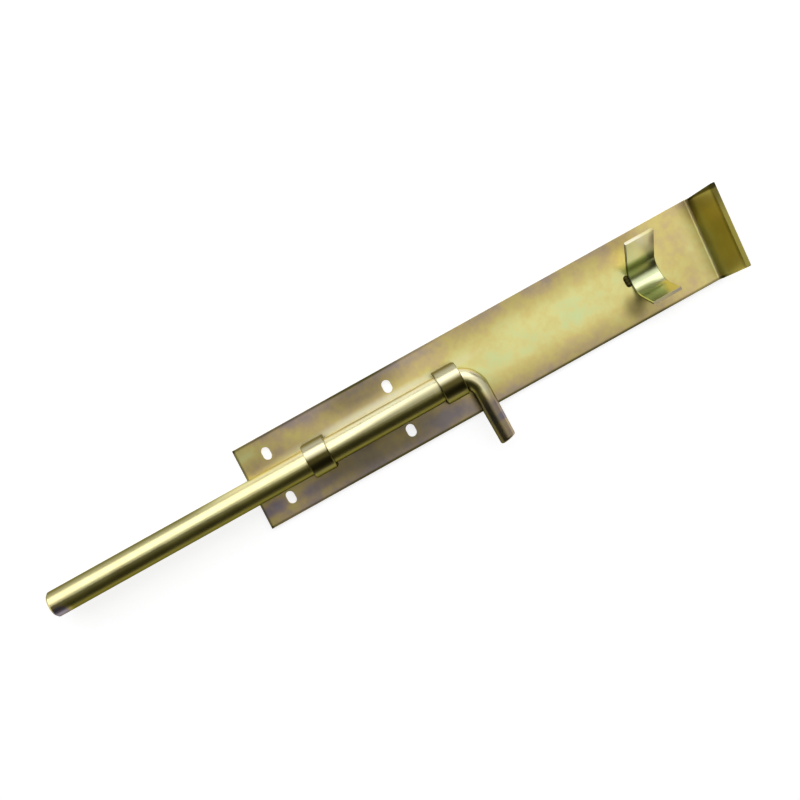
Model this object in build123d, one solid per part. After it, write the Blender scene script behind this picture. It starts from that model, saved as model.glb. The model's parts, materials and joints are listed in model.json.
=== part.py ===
from build123d import *
import os
from math import asin, atan2, cos, hypot, radians, sin, sqrt, tan

# Sliding door bolt on a long back plate, in millimetres.
# The plate lies on its back: z = 0 is the face that goes against the door, and +Z points away from the door.
# +Y is the way the rod is drawn back, the nose points to -Y and the handle to +X.
# The origin is the centre of the four fixing slots, on the back face.

# Back plate: one flat bar with its rear end folded up into a flange, a little out of square
PLATE_W = 52.0
PLATE_T = 3.0
PLATE_EDGE = 0.4        # bevel of the bar's long edges
FRONT_MARGIN = 18.0     # front slots to the front end
FRONT_SKEW = 2.0        # degrees by which the front end is out of square
FLANGE_SETBACK = 208.4  # rear slots to the inside of the flange
FLANGE_H = 32.0         # back face to the top of the flange
FLANGE_LEAN = 11.0      # degrees outwards from upright
FOLD_R = 2.0            # inside of the fold
FOLD_SKEW = 4.0         # degrees by which the fold is out of square

# Fixing slots, which run across the plate
SLOT_PITCH_X = 30.0
SLOT_PITCH_Y = 82.0
SLOT_W = 5.5
SLOT_L = 8.0

# Rod, drawn down through its elbow to a thinner handle
ROD_D = 16.0
ROD_X = 1.2             # rod axis from the middle of the plate, on the handle's side
NOSE_REACH = 132.0      # past the front end of the plate when the bolt is shot
NOSE_CHAMFER = 1.2
NECK_RUN = 14.0         # straight length ahead of the elbow over which the bar already thins
BEND_R = 11.5           # middle line of the elbow
HANDLE_ROOT_D = 11.0
HANDLE_TIP_D = 10.0
HANDLE_REACH = 45.0     # rod axis to the end of the handle
HANDLE_SKEW = 12.0      # degrees by which the sheared end is out of square
HANDLE_END_R = 1.2      # rounding of the sheared end
HANDLE_GAP = 1.5        # rear saddle to handle when the bolt is shot

# Saddles: straps bent half round over the rod, each with two tenons peened into the plate
STRAP_W = 14.0
STRAP_T = 2.0
STRAP_EDGE = 0.4        # bevel of its edges
REAR_SADDLE_Y = 74.5
SADDLE_PITCH = 88.0
ROD_CLEAR = 0.4         # all round the rod
TENON_W = 8.0
TENON_CLEAR = 0.05      # all round a tenon
TENON_FLARE = 0.8       # spread and depth of its peened end

# Catch cradle: a strip bent into an open, lopsided U, tacked to the plate beside its bend
CRADLE_Y = 207.5
CRADLE_X = 2.2          # middle of the bend from the middle of the plate, on the handle's side
CRADLE_W = 18.5         # along the rod
CRADLE_T = 2.0
CRADLE_EDGE = 0.4       # bevel of its edges
CRADLE_CLEAR = 1.0      # under the rod
CRADLE_R = 9.5          # inside of the bend
NEAR_ARM_OUT = 14.0     # middle of the bend to the inside of the top, for the arm on the handle's side
NEAR_ARM_H = 23.0       # front of the plate to its top
FAR_ARM_OUT = 22.3      # the same for the other arm
FAR_ARM_H = 27.8
CRADLE_SEAT = 4.0       # width of the flat under the bend

# Weld tack on the cradle's front edge
TACK_R = 1.7
TACK_L = 7.0
TACK_OFFSET = 2.1       # middle of the tack from the middle of the bend, away from the handle
TACK_BITE = 0.6         # depth of the tack in the edge of the strip

# Places that follow from the sizes
ROD_R = ROD_D / 2
ROD_Z = PLATE_T + CRADLE_T + CRADLE_CLEAR + ROD_R
FRONT_Y = -SLOT_PITCH_Y / 2 - FRONT_MARGIN
FLANGE_Y = SLOT_PITCH_Y / 2 + FLANGE_SETBACK
FRONT_SADDLE_Y = REAR_SADDLE_Y - SADDLE_PITCH
LEG_X = ROD_R + ROD_CLEAR + STRAP_T / 2
HANDLE_Y = REAR_SADDLE_Y + STRAP_W / 2 + HANDLE_GAP + HANDLE_ROOT_D / 2


def bent_strip(path, across, width, thickness, edge):
    """Strip with bevelled edges bent along a path down its middle, with its width along `across`."""
    section = chamfer(Rectangle(width, thickness).vertices(), edge)
    return sweep(Plane(path @ 0, x_dir=across, z_dir=path % 0) * section, path=path)


def tenon(x, y, clear=0.0):
    """Tenon through the plate with its peened end, or the hole for it when a clearance is given."""
    thick, wide = STRAP_T + 2 * clear, TENON_W + 2 * clear
    shank = Pos(x, y, PLATE_T / 2) * Box(thick, wide, PLATE_T)
    spread = Pos(x, y) * Rectangle(thick + 2 * TENON_FLARE, wide + 2 * TENON_FLARE)
    return shank + loft([spread, Pos(x, y, TENON_FLARE) * Rectangle(thick, wide)])


def back_plate():
    """Flat bar folded into a flange, slotted for its screws and for the tenons of the saddles."""
    turn, skew, front_skew = 90 - FLANGE_LEAN, radians(FOLD_SKEW), radians(FRONT_SKEW)
    fold_y, half_t = FLANGE_Y - FOLD_R * tan(radians(turn) / 2), PLATE_T / 2
    fold_line = Vector(cos(skew), -sin(skew), 0)
    start = Plane((0, fold_y, half_t), x_dir=fold_line, z_dir=(sin(skew), cos(skew), 0))
    section = start * chamfer(Rectangle(PLATE_W / cos(skew), PLATE_T).vertices(), PLATE_EDGE)

    # the flat is drawn over-long, then sheared off at the front
    flat = extrude(section, fold_y - FRONT_Y + PLATE_W, dir=(0, -1, 0))
    shear = Plane((0, FRONT_Y, 0), z_dir=(sin(front_skew), cos(front_skew), 0))
    plate = split(flat, shear, keep=Keep.TOP)

    # the bar's length turns with the fold, so that the flange leans sideways too
    axis = Axis((0, fold_y, PLATE_T + FOLD_R), fold_line)
    fold_end, up = section.rotate(axis, turn), Vector(0, 1, 0).rotate(axis, turn)
    rise = FLANGE_H - half_t * cos(radians(turn)) - fold_end.center().Z
    plate += [revolve(section, axis, turn), extrude(fold_end, rise / up.Z, dir=up)]

    slot = extrude(SlotOverall(SLOT_L, SLOT_W), PLATE_T)
    plate -= GridLocations(SLOT_PITCH_X, SLOT_PITCH_Y, 2, 2) * slot
    saddles = (FRONT_SADDLE_Y, REAR_SADDLE_Y)
    return plate - [tenon(ROD_X + leg, y, TENON_CLEAR) for leg in (-LEG_X, LEG_X) for y in saddles]


def saddle(y):
    """Strap over the rod at y, standing on the plate on its shoulders."""
    left, right = ROD_X - LEG_X, ROD_X + LEG_X
    arch = ThreePointArc((left, y, ROD_Z), (ROD_X, y, ROD_Z + LEG_X), (right, y, ROD_Z))
    path = Wire([Line((left, y, PLATE_T), arch @ 0), arch, Line(arch @ 1, (right, y, PLATE_T))])
    strap = bent_strip(path, (0, 1, 0), STRAP_W, STRAP_T, STRAP_EDGE)
    return strap + [tenon(x, y) for x in (left, right)]


def weld_tack(x, y):
    """Short bead along X on the front of the plate, round at both ends."""
    run = TACK_L / 2 - TACK_R
    core = Pos(x, y, PLATE_T) * Rot(0, 90, 0) * Cylinder(TACK_R, 2 * run)
    return core + [Pos(x + end, y, PLATE_T) * Sphere(TACK_R) for end in (-run, run)]


def catch_cradle():
    """Open U with straight flared arms, flattened under the bend where it sits on the plate."""
    outer_r, middle_r = CRADLE_R + CRADLE_T, CRADLE_R + CRADLE_T / 2
    flattened = outer_r - sqrt(outer_r**2 - (CRADLE_SEAT / 2) ** 2)
    centre_z = PLATE_T - flattened + outer_r
    arms = []
    for side, out, high in ((-1, FAR_ARM_OUT, FAR_ARM_H), (1, NEAR_ARM_OUT, NEAR_ARM_H)):
        # the inside of an arm is the tangent from its top to the inside of the bend
        up = PLATE_T + high - centre_z
        slope = atan2(up, out) + asin(CRADLE_R / hypot(out, up))
        bend_end = (CRADLE_X + side * middle_r * sin(slope), CRADLE_Y, centre_z - middle_r * cos(slope))
        tip_x = CRADLE_X + side * (out + CRADLE_T / 2 * sin(slope))
        arms.append(Line(bend_end, (tip_x, CRADLE_Y, centre_z + up - CRADLE_T / 2 * cos(slope))))
    bend = ThreePointArc(arms[0] @ 0, (CRADLE_X, CRADLE_Y, centre_z - middle_r), arms[1] @ 0)
    path = Wire([Line(arms[0] @ 1, arms[0] @ 0), bend, arms[1]])
    strip = bent_strip(path, (0, 1, 0), CRADLE_W, CRADLE_T, CRADLE_EDGE)
    strip += weld_tack(CRADLE_X - TACK_OFFSET, CRADLE_Y - CRADLE_W / 2 - TACK_R + TACK_BITE)
    return split(strip, Plane.XY.offset(PLATE_T), keep=Keep.TOP)


def bolt_rod():
    """Round bar with a flat nose, thinning through its elbow to a handle with a sheared end."""
    bend_y = HANDLE_Y - BEND_R
    neck_y, nose_y = bend_y - NECK_RUN, FRONT_Y - NOSE_REACH
    neck = Line((ROD_X, neck_y, ROD_Z), (ROD_X, bend_y, ROD_Z))
    bend = JernArc(neck @ 1, neck % 1, BEND_R, -90)
    shoulder, root = Plane(neck @ 0, z_dir=neck % 0), Plane(bend @ 1, z_dir=bend % 1)
    sections = [shoulder * Circle(ROD_R), root * Circle(HANDLE_ROOT_D / 2)]
    elbow = sweep(sections, path=Wire([neck, bend]), multisection=True)

    bar = extrude(Plane((ROD_X, nose_y, ROD_Z), z_dir=(0, 1, 0)) * Circle(ROD_R), neck_y - nose_y)
    bar = chamfer(bar.edges().sort_by(Axis.Y)[0], NOSE_CHAMFER)

    # the handle is drawn over-long at the same taper, then sheared off
    grip, waste = HANDLE_REACH - BEND_R, HANDLE_ROOT_D
    taper = (HANDLE_ROOT_D - HANDLE_TIP_D) / 2 / grip
    far = root.offset(grip + waste) * Circle(HANDLE_TIP_D / 2 - taper * waste)
    skew = radians(HANDLE_SKEW)
    shear = Plane((ROD_X + HANDLE_REACH, HANDLE_Y, ROD_Z), z_dir=(cos(skew), sin(skew), 0))
    handle = split(loft([root * Circle(HANDLE_ROOT_D / 2), far]), shear, keep=Keep.BOTTOM)
    handle = fillet(handle.edges().sort_by(Axis.X)[-1], HANDLE_END_R)
    return bar + elbow + handle


os.makedirs("parts", exist_ok=True)
pieces = {
    "back_plate": back_plate(),
    "front_saddle": saddle(FRONT_SADDLE_Y),
    "rear_saddle": saddle(REAR_SADDLE_Y),
    "catch_cradle": catch_cradle(),
    "bolt_rod": bolt_rod(),
}
for name, piece in pieces.items():
    export_step(piece, f"parts/{name}.step")
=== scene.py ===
"""Dresses a sliding door bolt, plated in yellow chromated zinc, and lights it as a studio product picture.

All places and sizes are in metres, in the frame of the CAD part: the plate lies on its back with z = 0 on
the floor, +Y is the way the rod is drawn back, +X the way its handle points and +Z points out of the door.
"""

import json
import logging
from dataclasses import dataclass, field
from enum import Enum
from math import cos, pi, radians, sin
from typing import Any

import bpy
import numpy as np
from mathutils import Matrix, Vector

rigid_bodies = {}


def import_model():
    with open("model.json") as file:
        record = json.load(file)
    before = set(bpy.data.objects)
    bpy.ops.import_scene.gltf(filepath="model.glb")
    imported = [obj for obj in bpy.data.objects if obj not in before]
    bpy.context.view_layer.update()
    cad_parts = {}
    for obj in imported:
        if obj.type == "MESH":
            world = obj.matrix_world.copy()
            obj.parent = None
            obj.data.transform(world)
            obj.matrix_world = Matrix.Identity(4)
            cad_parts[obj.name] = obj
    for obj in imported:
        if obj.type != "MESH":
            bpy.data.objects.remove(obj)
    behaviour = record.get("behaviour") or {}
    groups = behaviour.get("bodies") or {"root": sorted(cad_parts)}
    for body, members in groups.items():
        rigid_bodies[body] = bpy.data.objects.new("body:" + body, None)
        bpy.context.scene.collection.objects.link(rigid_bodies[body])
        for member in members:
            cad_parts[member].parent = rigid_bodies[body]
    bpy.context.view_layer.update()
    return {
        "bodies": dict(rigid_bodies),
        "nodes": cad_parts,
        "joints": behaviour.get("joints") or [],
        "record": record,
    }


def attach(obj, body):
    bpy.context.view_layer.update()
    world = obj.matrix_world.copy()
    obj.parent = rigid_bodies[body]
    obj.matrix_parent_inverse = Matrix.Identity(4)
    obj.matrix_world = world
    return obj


LOG = logging.getLogger("door_bolt")
MM = 0.001

# Numbers of the Mix node's sockets when it mixes colours
MIX_SHARE, MIX_BASE, MIX_OTHER, MIX_RESULT = 0, 6, 7, 2

Colour = tuple[float, float, float]
Point = tuple[float, float, float]
Span = tuple[float, float]
Socket = bpy.types.NodeSocket
Value = float | Socket
Place = tuple[Socket, Socket, Socket]
Inputs = dict[str | int, object]
Groups = dict[str, bpy.types.NodeTree]
Frame = dict[str, Any]


class Grain(Enum):
    """The way that the fine marks run on a piece, as noise features per metre along each axis."""

    ALONG_ROD = (900.0, 25.0, 900.0)
    ALONG_PLATE = (1400.0, 30.0, 1400.0)
    ROUND_STRAP = (60.0, 1300.0, 60.0)


class Effect(Enum):
    """What a patch changes in the film, by the name of the patch's own value."""

    FILM = "film"
    SHADE_AND_TARNISH = "shade_and_tarnish"
    PAINTED_LIGHT = "painted_light"


class Graph:
    """Short-hand for building the nodes of a material, a shader group or the world."""

    def __init__(self, tree: bpy.types.NodeTree) -> None:
        """Keeps the tree that the nodes go into and empties it."""
        self.tree = tree
        tree.nodes.clear()

    def node(self, kind: str, inputs: Inputs | None = None, **settings: object) -> bpy.types.Node:
        """Adds a node.

        Args:
            kind: the node's type, without its ShaderNode prefix.
            inputs: socket name or number to a plain value, or to an output socket to link.
            settings: properties of the node itself.

        Returns:
            The new node.
        """
        made = self.tree.nodes.new(kind if kind.startswith("NodeGroup") else f"ShaderNode{kind}")
        for name, value in settings.items():
            setattr(made, name, value)
        for name, value in (inputs or {}).items():
            if isinstance(value, Socket):
                self.tree.links.new(value, made.inputs[name])
            else:
                made.inputs[name].default_value = value
        return made

    def group(self, tree: bpy.types.NodeTree, inputs: Inputs) -> bpy.types.NodeOutputs:
        """Adds a shader group with these inputs and gives its outputs."""
        return self.node("Group", inputs, node_tree=tree).outputs

    def math(self, operation: str, *values: Value) -> Socket:
        """Adds a Math node with this operation and gives its result."""
        return self.node("Math", dict(enumerate(values)), operation=operation).outputs[0]

    def add(self, *values: Value) -> Value:
        """Adds up numbers or sockets.

        Args:
            values: one or more of them.

        Returns:
            Their sum.
        """
        total = values[0]
        for value in values[1:]:
            total = self.math("ADD", total, value)
        return total

    def less(self, value: Value, other: Value) -> Socket:
        """Takes another value away from a value."""
        return self.math("SUBTRACT", value, other)

    def times(self, value: Value, other: Value) -> Socket:
        """Multiplies two values."""
        return self.math("MULTIPLY", value, other)

    def line(self, value: Value, slope: float, start: Value) -> Socket:
        """Multiplies a value by a slope and adds a start."""
        return self.math("MULTIPLY_ADD", value, slope, start)

    def length(self, across: Socket, along: Socket) -> Socket:
        """Gives the length of a way that goes so far across and so far along."""
        return self.math("SQRT", self.add(self.times(across, across), self.times(along, along)))

    def step(self, value: Value, low: float, high: float, start: float = 0.0, end: float = 1.0) -> Socket:
        """Adds a smooth step of a value, from start at low and below it to end at high and above it."""
        inputs = {"Value": value, "From Min": low, "From Max": high, "To Min": start, "To Max": end}
        return self.node("MapRange", inputs, interpolation_type="SMOOTHSTEP").outputs["Result"]

    def mix(self, share: Value, base: Socket, other: Colour) -> Socket:
        """Mixes a share of another colour into a base colour."""
        inputs = {MIX_SHARE: share, MIX_BASE: base, MIX_OTHER: rgba(other)}
        return self.node("Mix", inputs, data_type="RGBA").outputs[MIX_RESULT]

    def noise(self, place: Socket, scale: float, detail: float = 2.0) -> Socket:
        """Adds a noise of so many features per metre and so many finer layers, mostly from 0.3 to 0.7."""
        return self.node("TexNoise", {"Vector": place, "Scale": scale, "Detail": detail}).outputs["Fac"]


def rgba(colour: Colour) -> tuple[float, float, float, float]:
    """Gives a colour full alpha."""
    return (*colour, 1.0)


def shader_group(name: str, inputs: dict[str, str], outputs: dict[str, str]) -> bpy.types.NodeTree:
    """Makes an empty shader group.

    Args:
        name: the group's name.
        inputs: names of its inputs, with what each holds.
        outputs: the same for its outputs.

    Returns:
        The group's tree.
    """
    tree = bpy.data.node_groups.new(name, "ShaderNodeTree")
    for way, sockets in (("INPUT", inputs), ("OUTPUT", outputs)):
        for socket, kind in sockets.items():
            tree.interface.new_socket(socket, in_out=way, socket_type=f"NodeSocket{kind}")
    return tree


@dataclass(frozen=True)
class ChromateFilm:
    """Colours of a chromate film on zinc, from where it is thickest to where it is thinnest.

    Attributes:
        stops: film value and colour of violet, mauve, tan, gold, straw and pale green film.
        amber: colour of clear, deep film.
        shade_and_tarnish: colour of darkened film, which is mostly painted shade.
        scale: colour of the scale that welding leaves.
        painted_light_colour: colour of paler film that is painted light, for painted highlights and painted
            reflections.
    """

    stops: tuple[tuple[float, Colour], ...] = (
        (0.00, (0.36, 0.31, 0.36)), (0.20, (0.52, 0.41, 0.33)), (0.40, (0.71, 0.55, 0.27)),
        (0.58, (0.80, 0.67, 0.24)), (0.78, (0.83, 0.78, 0.32)), (1.00, (0.73, 0.85, 0.42)))
    amber: Colour = (0.80, 0.71, 0.12)
    shade_and_tarnish: Colour = (0.11, 0.092, 0.025)
    scale: Colour = (0.02, 0.02, 0.012)
    painted_light_colour: Colour = (0.93, 0.89, 0.70)

    def group(self) -> bpy.types.NodeTree:
        """Builds the shader group that turns values into a colour.

        Returns:
            A group with the inputs Film, 0 for thick and 1 for thin, Amber, ShadeAndTarnish, 1 for darkened
            film, mostly painted shade, and 2 for scale, and PaintedLight, a paler film for painted
            highlights and reflections, and the output Colour.
        """
        names = ("Film", "Amber", "ShadeAndTarnish", "PaintedLight")
        tree = shader_group("chromate_film", dict.fromkeys(names, "Float"), {"Colour": "Color"})
        g = Graph(tree)
        given = g.node("NodeGroupInput").outputs
        ramp = g.node("ValToRGB", {"Fac": given["Film"]})
        for place, _ in self.stops[1:-1]:
            ramp.color_ramp.elements.new(place)
        for element, (place, colour) in zip(ramp.color_ramp.elements, self.stops):
            element.position, element.color = place, rgba(colour)
        deep = g.mix(given["Amber"], ramp.outputs["Color"], self.amber)
        # painted light: a paler film for painted highlights and reflections
        painted_light_colour = g.mix(given["PaintedLight"], deep, self.painted_light_colour)
        # darkened film, mostly painted shade; above 1 it turns into weld scale
        darkened = g.mix(given["ShadeAndTarnish"], painted_light_colour, self.shade_and_tarnish)
        scaled = g.mix(g.less(given["ShadeAndTarnish"], 1.0), darkened, self.scale)
        g.node("NodeGroupOutput", {"Colour": scaled})
        return tree


@dataclass(frozen=True)
class Wander:
    """A noise that swings between two values.

    Attributes:
        scale: features per metre.
        detail: how many finer layers it has.
        span: noise values at which the swing begins and ends.
        swing: the two values.
    """

    scale: float
    detail: float
    span: Span
    swing: Span

    def value(self, g: Graph, place: Socket) -> Socket:
        """Gives the swinging value at a place."""
        return g.step(g.noise(place, self.scale, self.detail), *self.span, *self.swing)


@dataclass(frozen=True)
class WorkedMetal:
    """Marks of rolling, drawing and handling.

    Attributes:
        broad: slow change of the film.
        mottled: fine mottling of the film.
        handled: change of the roughness where hands have been.
    """

    broad: Wander = Wander(scale=30.0, detail=2.0, span=(0.3, 0.7), swing=(-0.7, 0.7))
    mottled: Wander = Wander(scale=150.0, detail=3.0, span=(0.3, 0.7), swing=(-0.6, 0.6))
    handled: Wander = Wander(scale=60.0, detail=1.0, span=(0.35, 0.65), swing=(-0.02, 0.03))

    def group(self) -> bpy.types.NodeTree:
        """Builds the shader group of the marks.

        Returns:
            A group with the inputs Place, Grain and Roughness and the outputs Roughness, Height, which is
            that of the fine marks, and Cloud, which is how the film wanders.
        """
        inputs = {"Place": "Vector", "Grain": "Vector", "Roughness": "Float"}
        names = ("Roughness", "Height", "Cloud")
        tree = shader_group("worked_metal", inputs, dict.fromkeys(names, "Float"))
        g = Graph(tree)
        given = g.node("NodeGroupInput").outputs
        place = given["Place"]
        stretched = g.node("VectorMath", {0: place, 1: given["Grain"]}, operation="MULTIPLY").outputs[0]
        g.node("NodeGroupOutput", {
            "Roughness": g.add(given["Roughness"], self.handled.value(g, place)),
            "Height": g.noise(stretched, 1.0),
            "Cloud": g.add(self.broad.value(g, place), self.mottled.value(g, place))})
        return tree


@dataclass(frozen=True)
class Patch:
    """A soft-edged patch where the film is thicker or thinner than round it, darker, mostly with painted
    shade, or paler with painted light.

    Attributes:
        centre: its x and y.
        reach: how far it goes along x and y.
        film: film value that it adds in its middle.
        shade_and_tarnish: share of darkened film, mostly painted shade, that it adds in its middle.
        painted_light: share of painted light, a paler film, that it adds in its middle.
        core: share of its reach over which it doesn't fade.
    """

    centre: Span
    reach: Span
    film: float = 0.0
    shade_and_tarnish: float = 0.0
    painted_light: float = 0.0
    core: float = 0.2

    def value(self, g: Graph, place: Place, effect: Effect) -> Socket:
        """Gives what the patch adds for one effect, which falls to 0 at its edge."""
        across, along = (
            g.line(place[i], 1 / self.reach[i], -self.centre[i] / self.reach[i]) for i in (0, 1))
        return g.step(g.length(across, along), self.core, 1.0, getattr(self, effect.value), 0.0)


@dataclass(frozen=True)
class PlatedFinish:
    """Yellow chromated zinc on worked steel.

    Attributes:
        name: the material's name.
        grain: the way its fine marks run.
        roughness: how far reflections blur.
        film: film value of the plain surface, 0 for thick and 1 for thin.
        drift: how far the film value wanders.
        marks: depth of the fine marks.
        rim: colour of reflections at a grazing angle.
    """

    name: str
    grain: Grain
    roughness: float
    film: float
    drift: float = 0.10
    marks: float = 1e-6
    rim: Colour = (0.35, 0.35, 0.22)

    def film_value(self, g: Graph, place: Place) -> Value:
        """Gives the film value before it wanders."""
        return self.film

    def amber_value(self, g: Graph, place: Place) -> Value:
        """Gives the share of clear, deep film."""
        return 0.0

    def shade_and_tarnish_value(self, g: Graph, place: Place) -> Value:
        """Gives the share of darkened film, which is mostly painted shade."""
        return 0.0

    def painted_light_value(self, g: Graph, place: Place) -> Value:
        """Gives the share of painted light, a paler film."""
        return 0.0

    def metal_value(self, g: Graph, place: Place) -> Value:
        """Gives the share of metallic shine."""
        return 1.0

    def material(self, groups: Groups) -> bpy.types.Material:
        """Builds the material.

        Args:
            groups: the shared shader groups by name.

        Returns:
            A metal with a wandering film colour and fine marks.
        """
        made = bpy.data.materials.new(self.name)
        made.use_nodes = True
        g = Graph(made.node_tree)
        spot = g.node("TexCoord").outputs["Object"]
        place = tuple(g.node("SeparateXYZ", {"Vector": spot}).outputs)
        worked = g.group(groups["worked_metal"], {
            "Place": spot, "Grain": self.grain.value, "Roughness": self.roughness})
        wander = g.times(worked["Cloud"], self.drift)
        film = g.group(groups["chromate_film"], {
            "Film": g.add(wander, self.film_value(g, place)), "Amber": self.amber_value(g, place),
            "ShadeAndTarnish": self.shade_and_tarnish_value(g, place), "PaintedLight": self.painted_light_value(g, place)})
        bump = g.node("Bump", {"Height": worked["Height"], "Distance": self.marks, "Strength": 1.0})
        shader = g.node("BsdfPrincipled", {
            "Base Color": film["Colour"], "Metallic": self.metal_value(g, place),
            "Roughness": worked["Roughness"], "Specular Tint": rgba(self.rim),
            "Normal": bump.outputs["Normal"]})
        g.node("OutputMaterial", {"Surface": shader.outputs["BSDF"]})
        return made


@dataclass(frozen=True)
class SheetFinish(PlatedFinish):
    """The plate's finish: thin film down the middle, thick film along the edges and in patches, painted
    shade in the fold and towards the rear's long edges, and patches of painted light, shadow and
    reflection.

    Attributes:
        half_width: middle of the plate to its long edges.
        middle: film value that the middle of the rear adds.
        middle_ends: where that begins to fade and where it ends, from the middle of the plate.
        edge: film value that the long edges take away.
        edge_start: where they begin to, from the middle of the plate.
        rear_edge: share of that which is left on the rear.
        rear_ends: where the rear of the plate begins and where it is reached in full, along y.
        golden: film value of the plate beside the flange.
        golden_ends: where the plate begins to turn to it and where it has, along y.
        golden_share: how far it turns to it.
        face: height of the plate's front face.
        foot: height of the flange's foot.
        foot_film: film value of the foot.
        fall: film value that the flange loses above its foot.
        fall_end: height at which it has lost it.
        amber: share of clear, deep film on the foot.
        amber_more: share that the flange adds above its foot.
        amber_end: height at which it has added it.
        fold: share of painted shade in the fold.
        fold_ends: heights at which the fold is darkest and at which that has faded.
        top: share by which the flange's cut top is darker.
        top_ends: heights between which it sets in.
        cut: share by which the other cut edges are darker.
        cut_ends: where it sets in on the long edges, from the middle of the plate.
        front_ends: where it fades behind the front end, along y in the middle of the plate.
        front_slope: how far the front end is out of square, for each unit across.
        flanks: share of painted shade that the rear gains towards its long edges.
        flank_start: where that begins, from the middle of the plate.
        patches: thicker, thinner and darker patches, and patches of painted light, shade, shadow and
            reflection.
    """

    half_width: float = 26.0 * MM
    middle: float = 0.29
    middle_ends: Span = (3.9 * MM, 22.1 * MM)
    edge: float = 0.24
    edge_start: float = 16.9 * MM
    rear_edge: float = 0.5
    rear_ends: Span = (32.25 * MM, 96.75 * MM)
    golden: float = 0.48
    golden_ends: Span = (202.0 * MM, 228.0 * MM)
    golden_share: float = 0.7
    face: float = 3.0 * MM
    foot: float = 6.0 * MM
    foot_film: float = 1.0
    fall: float = 0.45
    fall_end: float = 25.6 * MM
    amber: float = 0.525
    amber_more: float = 0.225
    amber_end: float = 19.2 * MM
    fold: float = 0.35
    fold_ends: Span = (4.5 * MM, 12.0 * MM)
    top: float = 0.385
    top_ends: Span = (28.4 * MM, 30.8 * MM)
    cut: float = 0.70
    cut_ends: Span = (23.92 * MM, 25.48 * MM)
    front_ends: Span = (-58.4 * MM, -57.2 * MM)
    front_slope: float = 0.035
    flanks: float = 0.36
    flank_start: float = 6.5 * MM
    patches: tuple[Patch, ...] = (
        Patch((-20 * MM, 25 * MM), (13 * MM, 40 * MM), film=-0.16, shade_and_tarnish=0.56),
        Patch((-22 * MM, -56 * MM), (14 * MM, 22 * MM), film=0.32),
        # painted reflection of the rod on the plate beside it
        Patch((-7 * MM, 22 * MM), (5.6 * MM, 88 * MM), film=0.12, painted_light=0.85),
        Patch((17 * MM, -22 * MM), (5 * MM, 26 * MM), film=-0.30),
        Patch((18 * MM, 66 * MM), (7 * MM, 30 * MM), film=-0.25, shade_and_tarnish=-0.12),
        # painted shadow of the rod and straps, on violet-brown film, on the handle's side of the rod
        Patch((14.5 * MM, 26 * MM), (19 * MM, 86 * MM), film=-0.26, shade_and_tarnish=0.75),
        Patch((16 * MM, -53 * MM), (6 * MM, 16 * MM), film=-0.35),
        Patch((26 * MM, -58 * MM), (9 * MM, 16 * MM), film=0.30),
        # painted shade on the flange's far corner
        Patch((-25 * MM, 256 * MM), (18 * MM, 16 * MM), shade_and_tarnish=0.40),
        Patch((-12 * MM, 230 * MM), (16 * MM, 24 * MM), film=-0.30),
        # paler band before the fold: straw film with painted light
        Patch((6 * MM, 243 * MM), (40 * MM, 11 * MM), film=0.45, painted_light=0.12),
        # painted shadow and reflection of the cradle's near arm on the plate
        Patch((15 * MM, 194 * MM), (11 * MM, 10 * MM), film=-0.08, shade_and_tarnish=0.45))

    def film_value(self, g: Graph, place: Place) -> Socket:
        """Gives the film value before it wanders.

        Args:
            g: the material's graph.
            place: object coordinates x, y and z.

        Returns:
            A socket that changes across and along the plate and up the flange.
        """
        x, y, z = place
        side, rear = g.math("ABSOLUTE", x), self.rear(g, y)
        band = g.times(g.step(side, *self.middle_ends, self.middle, 0.0), rear)
        rim = g.times(g.step(side, self.edge_start, self.half_width, 0.0, -self.edge),
                      g.line(rear, self.rear_edge - 1.0, 1.0))
        film = g.add(self.film, band, rim, *self.spots(g, place, Effect.FILM))
        flange = g.add(g.step(z, self.face, self.foot, self.golden, self.foot_film),
                       g.step(z, self.foot, self.fall_end, 0.0, -self.fall))
        pull = g.times(self.gold(g, y), g.less(flange, film))
        return g.line(pull, self.golden_share, film)

    def amber_value(self, g: Graph, place: Place) -> Socket:
        """Gives the share of clear, deep film, which grows up the flange."""
        foot = g.step(place[2], self.face, self.foot, 0.0, self.amber)
        return g.add(foot, g.step(place[2], self.foot, self.amber_end, 0.0, self.amber_more))

    def shade_and_tarnish_value(self, g: Graph, place: Place) -> Socket:
        """Gives the share of darkened film, mostly painted shade.

        Args:
            g: the material's graph.
            place: object coordinates x, y and z.

        Returns:
            A socket with the painted shade in the fold, the darker cut edges, the painted shade on the
            flanks of the plate's rear and the patches.
        """
        x, y, z = place
        rear = self.rear(g, y)
        dark, faded = self.fold_ends
        # painted shade in the fold
        fold = g.times(g.step(z, self.face, dark), g.step(z, self.foot, faded, self.fold, 0.0))
        top = g.step(z, *self.top_ends, 0.0, self.top)
        inner, outer = self.cut_ends
        near_edge = g.step(x, inner, outer, 0.0, self.cut)

        # the far edge is dark on the front of the plate and on the flange
        dull = g.add(g.less(1.0, rear), g.step(z, self.face, self.foot))
        far_edge = g.times(g.step(x, -outer, -inner, self.cut, 0.0), dull)
        front = g.step(g.line(x, self.front_slope, y), *self.front_ends, self.cut, 0.0)
        # painted shade towards the long edges of the rear
        flank = g.step(g.math("ABSOLUTE", x), self.flank_start, self.half_width, 0.0, self.flanks)
        flank = g.times(flank, g.less(rear, self.gold(g, y)))
        return g.add(fold, top, near_edge, far_edge, front, flank, *self.spots(g, place, Effect.SHADE_AND_TARNISH))

    def painted_light_value(self, g: Graph, place: Place) -> Socket:
        """Gives the share of painted light, which is that of the patches."""
        return g.add(0.0, *self.spots(g, place, Effect.PAINTED_LIGHT))

    def rear(self, g: Graph, y: Socket) -> Socket:
        """Gives a value that rises from 0 to 1 where the rear of the plate begins."""
        return g.step(y, *self.rear_ends)

    def gold(self, g: Graph, y: Socket) -> Socket:
        """Gives a value that rises from 0 to 1 where the plate turns golden."""
        return g.step(y, *self.golden_ends)

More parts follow.
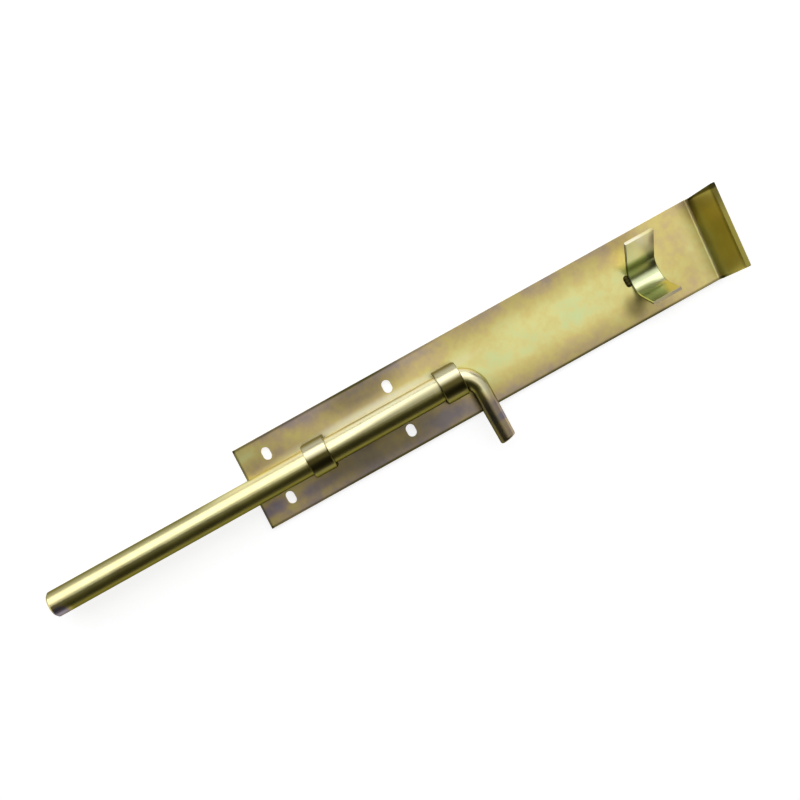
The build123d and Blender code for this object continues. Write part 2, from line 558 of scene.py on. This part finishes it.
    def spots(self, g: Graph, place: Place, effect: Effect) -> list[Socket]:
        """Gives one value for each patch that has this effect."""
        return [patch.value(g, place, effect) for patch in self.patches if getattr(patch, effect.value)]


@dataclass(frozen=True)
class RoundFinish(PlatedFinish):
    """Finish of what is round about the rod's axis: a painted highlight away from the handle and painted
    shade on both flanks, darkest on the handle's side.

    Places across it are in radii from the axis, and grow towards the handle.

    Attributes:
        axis: x of the rod's axis.
        radius: from the axis to the surface.
        far: share of painted shade on the flank away from the handle.
        far_ends: where that begins to fade and where it ends, across.
        far_fade: the same along y, past the part unless it is given.
        near: share of painted shade on the handle's side.
        near_start: where that begins, across.
        near_width: over how much it sets in.
        low: share of painted shade that the handle's side adds lower down, or loses if it is negative.
        low_ends: where that begins and where it is reached, across.
        painted_light_share: share of painted highlight, a paler film, on the side away from the handle.
        amber: share of amber tint on the handle's side, painted there with the shade.
        turn_ends: where the painted highlight begins to give way to the amber tint and where it has,
            across.
    """

    axis: float = 1.2 * MM
    radius: float = 8.0 * MM
    far: float = 0.70
    far_ends: Span = (-0.95, -0.45)
    far_fade: Span = (1.0, 2.0)
    near: float = 1.0
    near_start: float = 0.0
    near_width: float = 0.5
    low: float = -0.20
    low_ends: Span = (0.35, 0.75)
    painted_light_share: float = 0.40
    amber: float = 0.70
    turn_ends: Span = (-0.2, 0.3)

    def shade_and_tarnish_value(self, g: Graph, place: Place) -> Socket:
        """Gives the share of painted shade.

        Args:
            g: the material's graph.
            place: object coordinates x, y and z.

        Returns:
            A socket that grows down both flanks.
        """
        side = self.side(g, place)
        # painted shade: some on the flank away from the handle, most from the middle towards the handle
        far = g.times(g.step(side, *self.far_ends, self.far, 0.0),
                      g.step(place[1], *self.far_fade, 1.0, 0.0))
        height = g.add(side, self.climb(g, place))
        near = g.step(height, self.near_start, self.near_start + self.near_width, 0.0, self.near)
        return g.add(far, near, g.step(side, *self.low_ends, 0.0, self.low))

    def climb(self, g: Graph, place: Place) -> Value:
        """Gives how far the painted shade climbs up the piece, in radii."""
        return 0.0

    def painted_light_value(self, g: Graph, place: Place) -> Socket:
        """Gives the share of painted highlight, a paler film, away from the handle."""
        # painted highlight: paler film on the side away from the handle
        return g.step(self.side(g, place), *self.turn_ends, self.painted_light_share, 0.0)

    def amber_value(self, g: Graph, place: Place) -> Socket:
        """Gives the share of amber tint painted with the shade, on the handle's side."""
        return g.step(self.side(g, place), *self.turn_ends, 0.0, self.amber)

    def side(self, g: Graph, place: Place) -> Socket:
        """Gives the distance from the axis towards the handle, in radii."""
        return g.line(place[0], 1 / self.radius, -self.axis / self.radius)


@dataclass(frozen=True)
class BarFinish(RoundFinish):
    """The rod's finish, greyer on the handle, with a violet ring on it and a violet smudge at the nose.

    Attributes:
        rise: how far the painted shade climbs towards the rear, in radii.
        rise_ends: where it begins to climb and where it is highest, along y.
        nose_light_share: share of the painted highlight that is left ahead of those two places.
        elbow_rise: share of the climb that is left in the elbow.
        bend: radius of the elbow's middle line.
        handle: film value that the handle takes away.
        handle_dark: share by which the handle is darker.
        handle_rise: how much further the painted shade climbs on the handle, in radii.
        handle_middle: the handle's middle line, along y.
        handle_ends: where the handle's finish sets in, along x.
        ring: middle of the violet ring, along x.
        ring_ends: distance from its middle at which it begins to fade and at which it ends.
        ring_film: film value that it takes away.
        smudge: the patch at the nose.
    """

    rise: float = 0.76
    rise_ends: Span = (-70.0 * MM, 60.0 * MM)
    nose_light_share: float = 0.5
    elbow_rise: float = 0.25
    bend: float = 11.5 * MM
    handle: float = 0.50
    handle_dark: float = 0.16
    handle_rise: float = 0.26
    handle_middle: float = 88.5 * MM
    handle_ends: Span = (12.0 * MM, 24.0 * MM)
    ring: float = 32.0 * MM
    ring_ends: Span = (0.9 * MM, 3.0 * MM)
    ring_film: float = 0.3
    smudge: Patch = Patch((7.0 * MM, -187.0 * MM), (7.0 * MM, 9.0 * MM), film=-0.9, shade_and_tarnish=-0.8)

    def film_value(self, g: Graph, place: Place) -> Socket:
        """Gives the film value before it wanders.

        Args:
            g: the material's graph.
            place: object coordinates x, y and z.

        Returns:
            A socket with the handle, its ring and the smudge.
        """
        off = g.math("ABSOLUTE", g.less(place[0], self.ring))
        ring = g.step(off, *self.ring_ends, -self.ring_film, 0.0)
        smudge = self.smudge.value(g, place, Effect.FILM)
        return g.add(self.film, self.grip(g, place, -self.handle), ring, smudge)

    def shade_and_tarnish_value(self, g: Graph, place: Place) -> Socket:
        """Gives the share of painted shade, with the handle's darkening and that of the smudge."""
        smudge = self.smudge.value(g, place, Effect.SHADE_AND_TARNISH)
        return g.add(super().shade_and_tarnish_value(g, place), self.grip(g, place, self.handle_dark), smudge)

    def painted_light_value(self, g: Graph, place: Place) -> Socket:
        """Gives the share of painted highlight, more towards the rear and none on the handle."""
        # painted highlight, fainter at the nose and none on the handle
        painted_light = g.times(super().painted_light_value(g, place), g.step(place[1], *self.rise_ends, self.nose_light_share))
        return g.add(painted_light, self.grip(g, place, -self.painted_light_share))

    def amber_value(self, g: Graph, place: Place) -> Socket:
        """Gives the share of amber tint painted with the shade, which the handle and the smudge don't have.
        """
        smudge = self.smudge.value(g, place, Effect.FILM)
        return g.add(super().amber_value(g, place), self.grip(g, place, -self.amber), smudge)

    def climb(self, g: Graph, place: Place) -> Socket:
        """Gives how far the painted shade climbs up the bar, in radii.

        Args:
            g: the material's graph.
            place: object coordinates x, y and z.

        Returns:
            A socket that grows towards the rear, drops again in the elbow and grows on the handle.
        """
        y = place[1]
        rise = g.step(y, *self.rise_ends, 0.0, self.rise)
        drop = g.step(y, self.handle_middle - 2 * self.radius, self.handle_middle, 1.0, self.elbow_rise)
        return g.add(g.times(rise, drop), self.grip(g, place, self.handle_rise))

    def grip(self, g: Graph, place: Place, peak: float) -> Socket:
        """Gives a value that rises from 0 on the rod to a peak on the handle."""
        return g.step(place[0], *self.handle_ends, 0.0, peak)

    def side(self, g: Graph, place: Place) -> Socket:
        """Gives the distance from the bar's middle line towards the inside of its elbow.

        The middle line runs along the rod, round the elbow and down the handle. The distance is the elbow's
        radius less the length of the way from the elbow's centre, of which x counts only on the rod's side
        of the centre, and y only on the handle's side.

        Args:
            g: the material's graph.
            place: object coordinates x, y and z.

        Returns:
            The distance in radii of the rod.
        """
        centre_x, centre_y = self.axis + self.bend, self.handle_middle - self.bend
        across = g.math("MAXIMUM", g.less(centre_x, place[0]), 0.0)
        along = g.math("MAXIMUM", g.less(place[1], centre_y), 0.0)
        return g.line(g.length(across, along), -1 / self.radius, self.bend / self.radius)


@dataclass(frozen=True)
class CradleFinish(PlatedFinish):
    """The cradle's finish: thin, greenish film, with a painted dark reflection in the bend, painted shade
    on the near arm and painted light on the far arm.

    Attributes:
        soft: half the length over which one tone gives way to the next.
        tip_ends: where the far arm's cut end fades into the arm, along x.
        tip_dark: share of painted shade on that end.
        arm: foot of the far arm, along x.
        arm_film: film value that the arm takes away.
        painted_light_share: share of painted light, a paler film, on the arm.
        rear_light_share: part of that share which is left on the arm's rear half.
        painted_light_ends: where it gets less, along y.
        bend: end of the band of painted dark reflection in the bend, which begins at the foot of the arm.
        dark: share of painted dark reflection in the band.
        pale: share of painted highlight, a paler film, on the handle's side of the band.
        near: where painted shade sets in again on the handle's side, along x.
        near_dark: share of painted shade there.
        near_film: film value that the rear half of the near arm takes away.
        rear_ends: where that half begins and where it is reached in full, along y.
        near_slope: degrees by which the near arm rises from the plate.
        lip_ends: where its cut end sets in, along that slope from the frame's origin.
        lip_shine: share of metallic shine on the cut end, which is left matt.
        lip_film: film value that the cut end takes away.
        painted_shade_patch: brown painted shade at the rear of the far arm.
    """

    soft: float = 2.0 * MM
    tip_ends: Span = (-20.5 * MM, -19.5 * MM)
    tip_dark: float = 0.4
    arm: float = -8.8 * MM
    arm_film: float = 0.36
    painted_light_share: float = 0.95
    rear_light_share: float = 0.3
    painted_light_ends: Span = (203.5 * MM, 213.5 * MM)
    bend: float = 0.8 * MM
    dark: float = 0.70
    pale: float = 0.35
    near: float = 4.5 * MM
    near_dark: float = 0.30
    near_film: float = 0.26
    rear_ends: Span = (207.5 * MM, 212.5 * MM)
    near_slope: float = 71.24
    lip_ends: Span = (29.43 * MM, 29.73 * MM)
    lip_shine: float = 0.25
    lip_film: float = 0.45
    painted_shade_patch: Patch = Patch((-16.0 * MM, 217.0 * MM), (7.0 * MM, 5.5 * MM), film=-0.3, shade_and_tarnish=0.6)

    def film_value(self, g: Graph, place: Place) -> Socket:
        """Gives the film value before it wanders.

        Args:
            g: the material's graph.
            place: object coordinates x, y and z.

        Returns:
            A socket that falls on the far arm, and on the rear and the cut end of the near one.
        """
        x, y, _ = place
        arm = g.step(x, self.arm - self.soft, self.arm + self.soft, -self.arm_film, 0.0)
        near = g.step(x, self.near + self.soft, self.near + 3 * self.soft, 0.0, -self.near_film)
        rear = g.times(near, g.step(y, *self.rear_ends))
        lip = self.lip(g, place, 0.0, -self.lip_film)
        return g.add(self.film, arm, rear, lip, self.painted_shade_patch.value(g, place, Effect.FILM))

    def shade_and_tarnish_value(self, g: Graph, place: Place) -> Socket:
        """Gives the share of painted shade and painted dark reflection.

        Args:
            g: the material's graph.
            place: object coordinates x, y and z.

        Returns:
            A socket with the painted dark reflection in the bend and the painted shade on the near arm, on
            the far arm's tip and in the brown patch.
        """
        x = place[0]
        # painted dark reflection in the bend
        band = g.times(g.step(x, self.arm - self.soft, self.arm + self.soft, 0.0, self.dark),
                       g.step(x, self.bend - self.soft, self.bend + self.soft, 1.0, 0.0))
        # painted shade on the near arm, short of its cut end
        near = g.times(g.step(x, self.near, self.near + 2 * self.soft, 0.0, self.near_dark),
                       self.lip(g, place, 1.0, 0.0))
        # painted shade on the far arm's cut end
        tip = g.step(x, *self.tip_ends, self.tip_dark, 0.0)
        return g.add(band, near, tip, self.painted_shade_patch.value(g, place, Effect.SHADE_AND_TARNISH))

    def painted_light_value(self, g: Graph, place: Place) -> Socket:
        """Gives the share of painted light.

        Args:
            g: the material's graph.
            place: object coordinates x, y and z.

        Returns:
            A socket that covers the far arm, mostly its front half, and the handle's side of the bend.
        """
        x, y, _ = place
        # painted light on the far arm, less on its rear half
        arm = g.times(g.step(x, self.arm - self.soft, self.arm + self.soft / 2, self.painted_light_share, 0.0),
                      g.step(y, *self.painted_light_ends, 1.0, self.rear_light_share))
        # painted highlight, a paler film, on the handle's side of the bend
        return g.add(arm, g.step(x, self.bend - self.soft / 2, self.bend + self.soft / 2, 0.0, self.pale))

    def metal_value(self, g: Graph, place: Place) -> Socket:
        """Gives the share of metallic shine, which drops on the near arm's cut end."""
        return self.lip(g, place, 1.0, self.lip_shine)

    def lip(self, g: Graph, place: Place, start: float, end: float) -> Socket:
        """Gives a value that changes at the near arm's cut end.

        Args:
            g: the material's graph.
            place: object coordinates x, y and z.
            start: the value away from the cut end.
            end: the value on it.

        Returns:
            The value.
        """
        slope = radians(self.near_slope)
        along = g.add(g.times(place[0], cos(slope)), g.times(place[2], sin(slope)))
        return g.step(along, *self.lip_ends, start, end)


@dataclass(frozen=True)
class BurntFinish(PlatedFinish):
    """The tack's finish: weld scale that shows some film in its hollows.

    Attributes:
        scale: tarnish value of the scale, between darkened film at 1 and bare scale at 2.
        spread: how far that value changes from place to place.
        wave: length of one change.
    """

    scale: float = 1.45
    spread: float = 0.30
    wave: float = 2.0 * MM

    def shade_and_tarnish_value(self, g: Graph, place: Place) -> Socket:
        """Gives the share of darkened film and scale, which changes along the tack."""
        return g.line(g.math("SINE", g.times(place[0], 2 * pi / self.wave)), self.spread, self.scale)


@dataclass
class SubAssembly:
    """CAD nodes that keep their shape and take one finish.

    Attributes:
        nodes: the nodes' names.
        finish: their finish.
    """

    nodes: tuple[str, ...]
    finish: PlatedFinish

    def build(self, frame: Frame, groups: Groups) -> None:
        """Gives the nodes their material.

        Args:
            frame: the loaded frame.
            groups: the shared shader groups by name.
        """
        material = self.finish.material(groups)
        for name in self.nodes:
            slots = frame["nodes"][name].data.materials
            slots.clear()
            slots.append(material)
            LOG.info("%s dressed in %s", name, self.finish.name)


@dataclass
class BackPlate(SubAssembly):
    """The folded, slotted sheet."""

    nodes: tuple[str, ...] = ("back_plate",)
    finish: PlatedFinish = SheetFinish(
        "plated_sheet", Grain.ALONG_PLATE, roughness=0.34, film=0.50, drift=0.15)


@dataclass
class StrapSaddles(SubAssembly):
    """The two straps that hold the rod."""

    nodes: tuple[str, ...] = ("front_saddle", "rear_saddle")
    # painted highlight away from the handle and painted shade on the handle's side
    finish: PlatedFinish = RoundFinish(
        "plated_strap", Grain.ROUND_STRAP, roughness=0.31, film=0.72, radius=10.4 * MM, near_start=-0.58,
        painted_light_share=0.65, amber=0.35)


@dataclass
class BoltRod(SubAssembly):
    """The rod with its bent handle."""

    nodes: tuple[str, ...] = ("bolt_rod",)
    # painted highlight away from the handle and painted shade that climbs towards the rear
    finish: PlatedFinish = BarFinish(
        "plated_bar", Grain.ALONG_ROD, roughness=0.33, film=0.70, far=0.80,
        far_fade=(-100.0 * MM, -60.0 * MM), near=0.68, near_start=0.05, low=0.16, painted_light_share=0.58)


@dataclass
class CatchCradle(SubAssembly):
    """The open U that catches the drawn rod, and the skin of the weld tack at its front edge.

    Attributes:
        tack: middle of the tack, on the front face of the plate.
        tack_length: length of the tack along x.
        tack_radius: radius of the tack.
        skin: thickness of its skin.
        ripples: number of ripples along each half of the tack.
        ripple: height of the ripples as a share of the radius.
        sink: depth of the skin's flat underside in the plate, as a share of the radius.
        burnt: finish of the tack.
    """

    nodes: tuple[str, ...] = ("catch_cradle",)
    finish: PlatedFinish = CradleFinish("plated_cradle", Grain.ROUND_STRAP, roughness=0.30, film=1.0)
    tack: Point = (0.1 * MM, 197.15 * MM, 3.0 * MM)
    tack_length: float = 7.0 * MM
    tack_radius: float = 1.7 * MM
    skin: float = 0.2 * MM
    ripples: float = 5.0
    ripple: float = 0.05
    sink: float = 0.05
    burnt: PlatedFinish = BurntFinish("burnt_tack", Grain.ROUND_STRAP, roughness=0.45, film=0.6)

    def build(self, frame: Frame, groups: Groups) -> None:
        """Gives the cradle its material and makes the skin of the tack.

        Args:
            frame: the loaded frame.
            groups: the shared shader groups by name.
        """
        super().build(frame, groups)
        skin = self.tack_skin()
        skin.data.materials.append(self.burnt.material(groups))
        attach(skin, "plate")
        LOG.info("%s built", skin.name)

    def tack_skin(self, along: int = 96, around: int = 48) -> bpy.types.Object:
        """Makes a rippled bead, flattened underneath, that covers the tack.

        With u from -1 to 1 along the bead and v once round it, the radius is
        r(u) = R * (1 - u^4)^(1/2) * (1 + e * cos(2 pi n u)), and a point lies at
        (h * u, r * cos v, r * max(sin v, -d)) from the middle of the tack. R is the skin's radius, h half
        its length, n the number of ripples, e their height and d the depth of the flat underside.

        Args:
            along: grid steps along the bead.
            around: grid steps round it.

        Returns:
            The skin's object.
        """
        u = np.sin(np.linspace(-pi / 2, pi / 2, along + 1))[1:-1, None]
        v = np.linspace(0, 2 * pi, around, endpoint=False)
        radius, half = self.tack_radius + self.skin, self.tack_length / 2 + self.skin
        r = radius * np.sqrt(1 - u**4) * (1 + self.ripple * np.cos(2 * pi * self.ripples * u))
        bead = np.broadcast_arrays(half * u, r * np.cos(v), r * np.maximum(np.sin(v), -self.sink))
        ends = np.array([(-half, 0.0, 0.0), (half, 0.0, 0.0)])
        points = np.concatenate([np.stack(bead, axis=-1).reshape(-1, 3), ends]) + np.array(self.tack)

        # quads between the rings, and a fan of triangles to the point at each end
        ring = np.arange(u.size * around).reshape(-1, around)
        turned = np.roll(ring, -1, axis=1)
        quads = np.stack([ring[:-1], turned[:-1], turned[1:], ring[1:]], axis=-1).reshape(-1, 4)
        first = np.full(around, ring.size)
        first_fan = np.stack([first, turned[0], ring[0]], axis=-1)
        last_fan = np.stack([first + 1, ring[-1], turned[-1]], axis=-1)
        mesh = bpy.data.meshes.new("weld_tack_skin")
        mesh.from_pydata(points.tolist(), [], quads.tolist() + first_fan.tolist() + last_fan.tolist())
        mesh.polygons.foreach_set("use_smooth", np.ones(len(mesh.polygons), dtype=bool))
        made = bpy.data.objects.new("weld_tack_skin", mesh)
        bpy.context.scene.collection.objects.link(made)
        return made


@dataclass
class PhotoCamera:
    """A camera almost straight above the plate, turned so that the bolt lies across the picture.

    Attributes:
        place: where the camera stands.
        target: the point in the middle of the picture.
        turn: degrees from the plate's length to the picture's horizontal.
        lens: focal length in millimetres.
        sensor: width of the sensor in millimetres.
        clip: the nearest and the farthest distance that it shows.
    """

    place: Point = (-0.0359, 0.0373, 0.5975)
    target: Point = (-0.0042, 0.0439, 0.003)
    turn: float = 29.14
    lens: float = 45.0
    sensor: float = 36.0
    clip: Span = (0.01, 50.0)

    def build(self) -> bpy.types.Object:
        """Makes the camera and gives it to the scene.

        Returns:
            The camera's object.
        """
        data = bpy.data.cameras.new("photo_camera")
        data.lens, data.sensor_width, data.sensor_fit = self.lens, self.sensor, "HORIZONTAL"
        data.clip_start, data.clip_end = self.clip
        back = (Vector(self.place) - Vector(self.target)).normalized()
        right = Vector((sin(radians(self.turn)), cos(radians(self.turn)), 0.0))
        right = (right - back * right.dot(back)).normalized()
        axes = Matrix((right, back.cross(right), back)).transposed().to_4x4()
        camera = bpy.data.objects.new("photo_camera", data)
        camera.matrix_world = Matrix.Translation(Vector(self.place)) @ axes
        bpy.context.scene.collection.objects.link(camera)
        bpy.context.scene.camera = camera
        return camera


@dataclass(frozen=True)
class Softbox:
    """A large rectangular lamp that looks at the middle of the bolt.

    Attributes:
        name: the lamp's name.
        tilt: degrees down from straight above.
        bearing: degrees from -X, the side away from the handle, towards +Y, the flange.
        reach: distance from the bolt.
        size: length along the horizon and height.
        radiance: brightness of its face, where 1 is white.
    """

    name: str
    tilt: float
    bearing: float
    reach: float
    size: Span
    radiance: float

    def build(self, aim: Point) -> bpy.types.Object:
        """Makes the lamp.

        Args:
            aim: the point that it looks at.

        Returns:
            The lamp's object.
        """
        data = bpy.data.lights.new(self.name, "AREA")
        data.shape, data.size, data.size_y = "RECTANGLE", *self.size

        # a face of this radiance gives pi times as much power for each unit of its area
        data.energy = self.radiance * self.size[0] * self.size[1] * pi
        tilt, bearing = radians(self.tilt), radians(self.bearing)
        away = Vector((-sin(tilt) * cos(bearing), sin(tilt) * sin(bearing), cos(tilt)))
        level = Vector((sin(bearing), cos(bearing), 0.0))
        axes = Matrix((level, away.cross(level), away)).transposed().to_4x4()
        lamp = bpy.data.objects.new(self.name, data)
        lamp.matrix_world = Matrix.Translation(Vector(aim) + away * self.reach) @ axes
        bpy.context.scene.collection.objects.link(lamp)
        return lamp


@dataclass
class Studio:
    """White floor, soft lamps and a dim room with a pale horizon.

    Attributes:
        floor_size: side of the floor.
        floor_colour: colour of the floor.
        floor_glow: light that the floor adds to reach white.
        horizon: colour of the room at eye level.
        horizon_end: height up to which it is so, where 1 is straight above.
        overhead: colour of the room above.
        overhead_start: height from which it is so.
        lamps: the softboxes.
    """

    floor_size: float = 30.0
    floor_colour: Colour = (0.4, 0.4, 0.4)
    floor_glow: float = 0.79
    horizon: Colour = (0.22, 0.22, 0.22)
    horizon_end: float = 0.02
    overhead: Colour = (0.045, 0.045, 0.045)
    overhead_start: float = 0.35
    lamps: list[Softbox] = field(default_factory=lambda: [
        Softbox("key_softbox", tilt=46.0, bearing=0.0, reach=1.1, size=(2.6, 1.3), radiance=1.7),
        Softbox("top_softbox", tilt=14.0, bearing=102.0, reach=1.3, size=(0.75, 1.0), radiance=0.89),
        Softbox("flange_softbox", tilt=56.0, bearing=95.0, reach=1.5, size=(1.2, 1.1), radiance=0.45),
    ])

    def build(self, aim: Point) -> None:
        """Makes the floor, the room and the lamps.

        Args:
            aim: the point that the lamps look at.
        """
        self.build_floor()
        self.build_room()
        for lamp in self.lamps:
            lamp.build(aim)
        bpy.context.scene.view_settings.view_transform = "Standard"
        LOG.info("studio built with %d lamps", len(self.lamps))

    def build_floor(self) -> bpy.types.Object:
        """Makes a floor that is white to the eye and in reflections, and keeps the shadow.

        Returns:
            The floor's object.
        """
        half = self.floor_size / 2
        mesh = bpy.data.meshes.new("floor")
        corners = [(x, y, 0.0) for x, y in ((-half, -half), (half, -half), (half, half), (-half, half))]
        mesh.from_pydata(corners, [], [(0, 1, 2, 3)])
        floor = bpy.data.objects.new("floor", mesh)
        bpy.context.scene.collection.objects.link(floor)
        paint = bpy.data.materials.new("white_floor")
        paint.use_nodes = True
        g = Graph(paint.node_tree)
        ray = g.node("LightPath").outputs
        mirrored = g.math("MAXIMUM", ray["Is Glossy Ray"], ray["Is Transmission Ray"])
        seen = g.math("MAXIMUM", ray["Is Camera Ray"], mirrored)
        glow = g.node("Emission", {"Strength": g.times(seen, self.floor_glow)})
        matt = g.node("BsdfDiffuse", {"Color": rgba(self.floor_colour)})
        both = g.node("AddShader", {0: matt.outputs[0], 1: glow.outputs[0]})
        g.node("OutputMaterial", {"Surface": both.outputs[0]})
        mesh.materials.append(paint)
        return floor

    def build_room(self) -> bpy.types.World:
        """Makes the room, pale at the horizon and dim overhead.

        Returns:
            The world.
        """
        world = bpy.data.worlds.new("room")
        bpy.context.scene.world = world
        world.use_nodes = True
        g = Graph(world.node_tree)
        height = g.node("SeparateXYZ", {"Vector": g.node("TexCoord").outputs["Generated"]}).outputs["Z"]
        ramp = g.node("ValToRGB", {"Fac": height})
        low, high = ramp.color_ramp.elements
        low.position, low.color = self.horizon_end, rgba(self.horizon)
        high.position, high.color = self.overhead_start, rgba(self.overhead)
        air = g.node("Background", {"Color": ramp.outputs["Color"], "Strength": 1.0})
        g.node("OutputWorld", {"Surface": air.outputs[0]})
        return world


def main() -> None:
    """Builds the picture piece by piece."""
    logging.basicConfig(level=logging.INFO, format="%(name)s: %(message)s")
    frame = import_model()
    camera = PhotoCamera()
    camera.build()
    Studio().build(camera.target)
    groups = {"chromate_film": ChromateFilm().group(), "worked_metal": WorkedMetal().group()}
    for part in (BackPlate(), StrapSaddles(), CatchCradle(), BoltRod()):
        part.build(frame, groups)


if __name__ == "__main__":
    main()
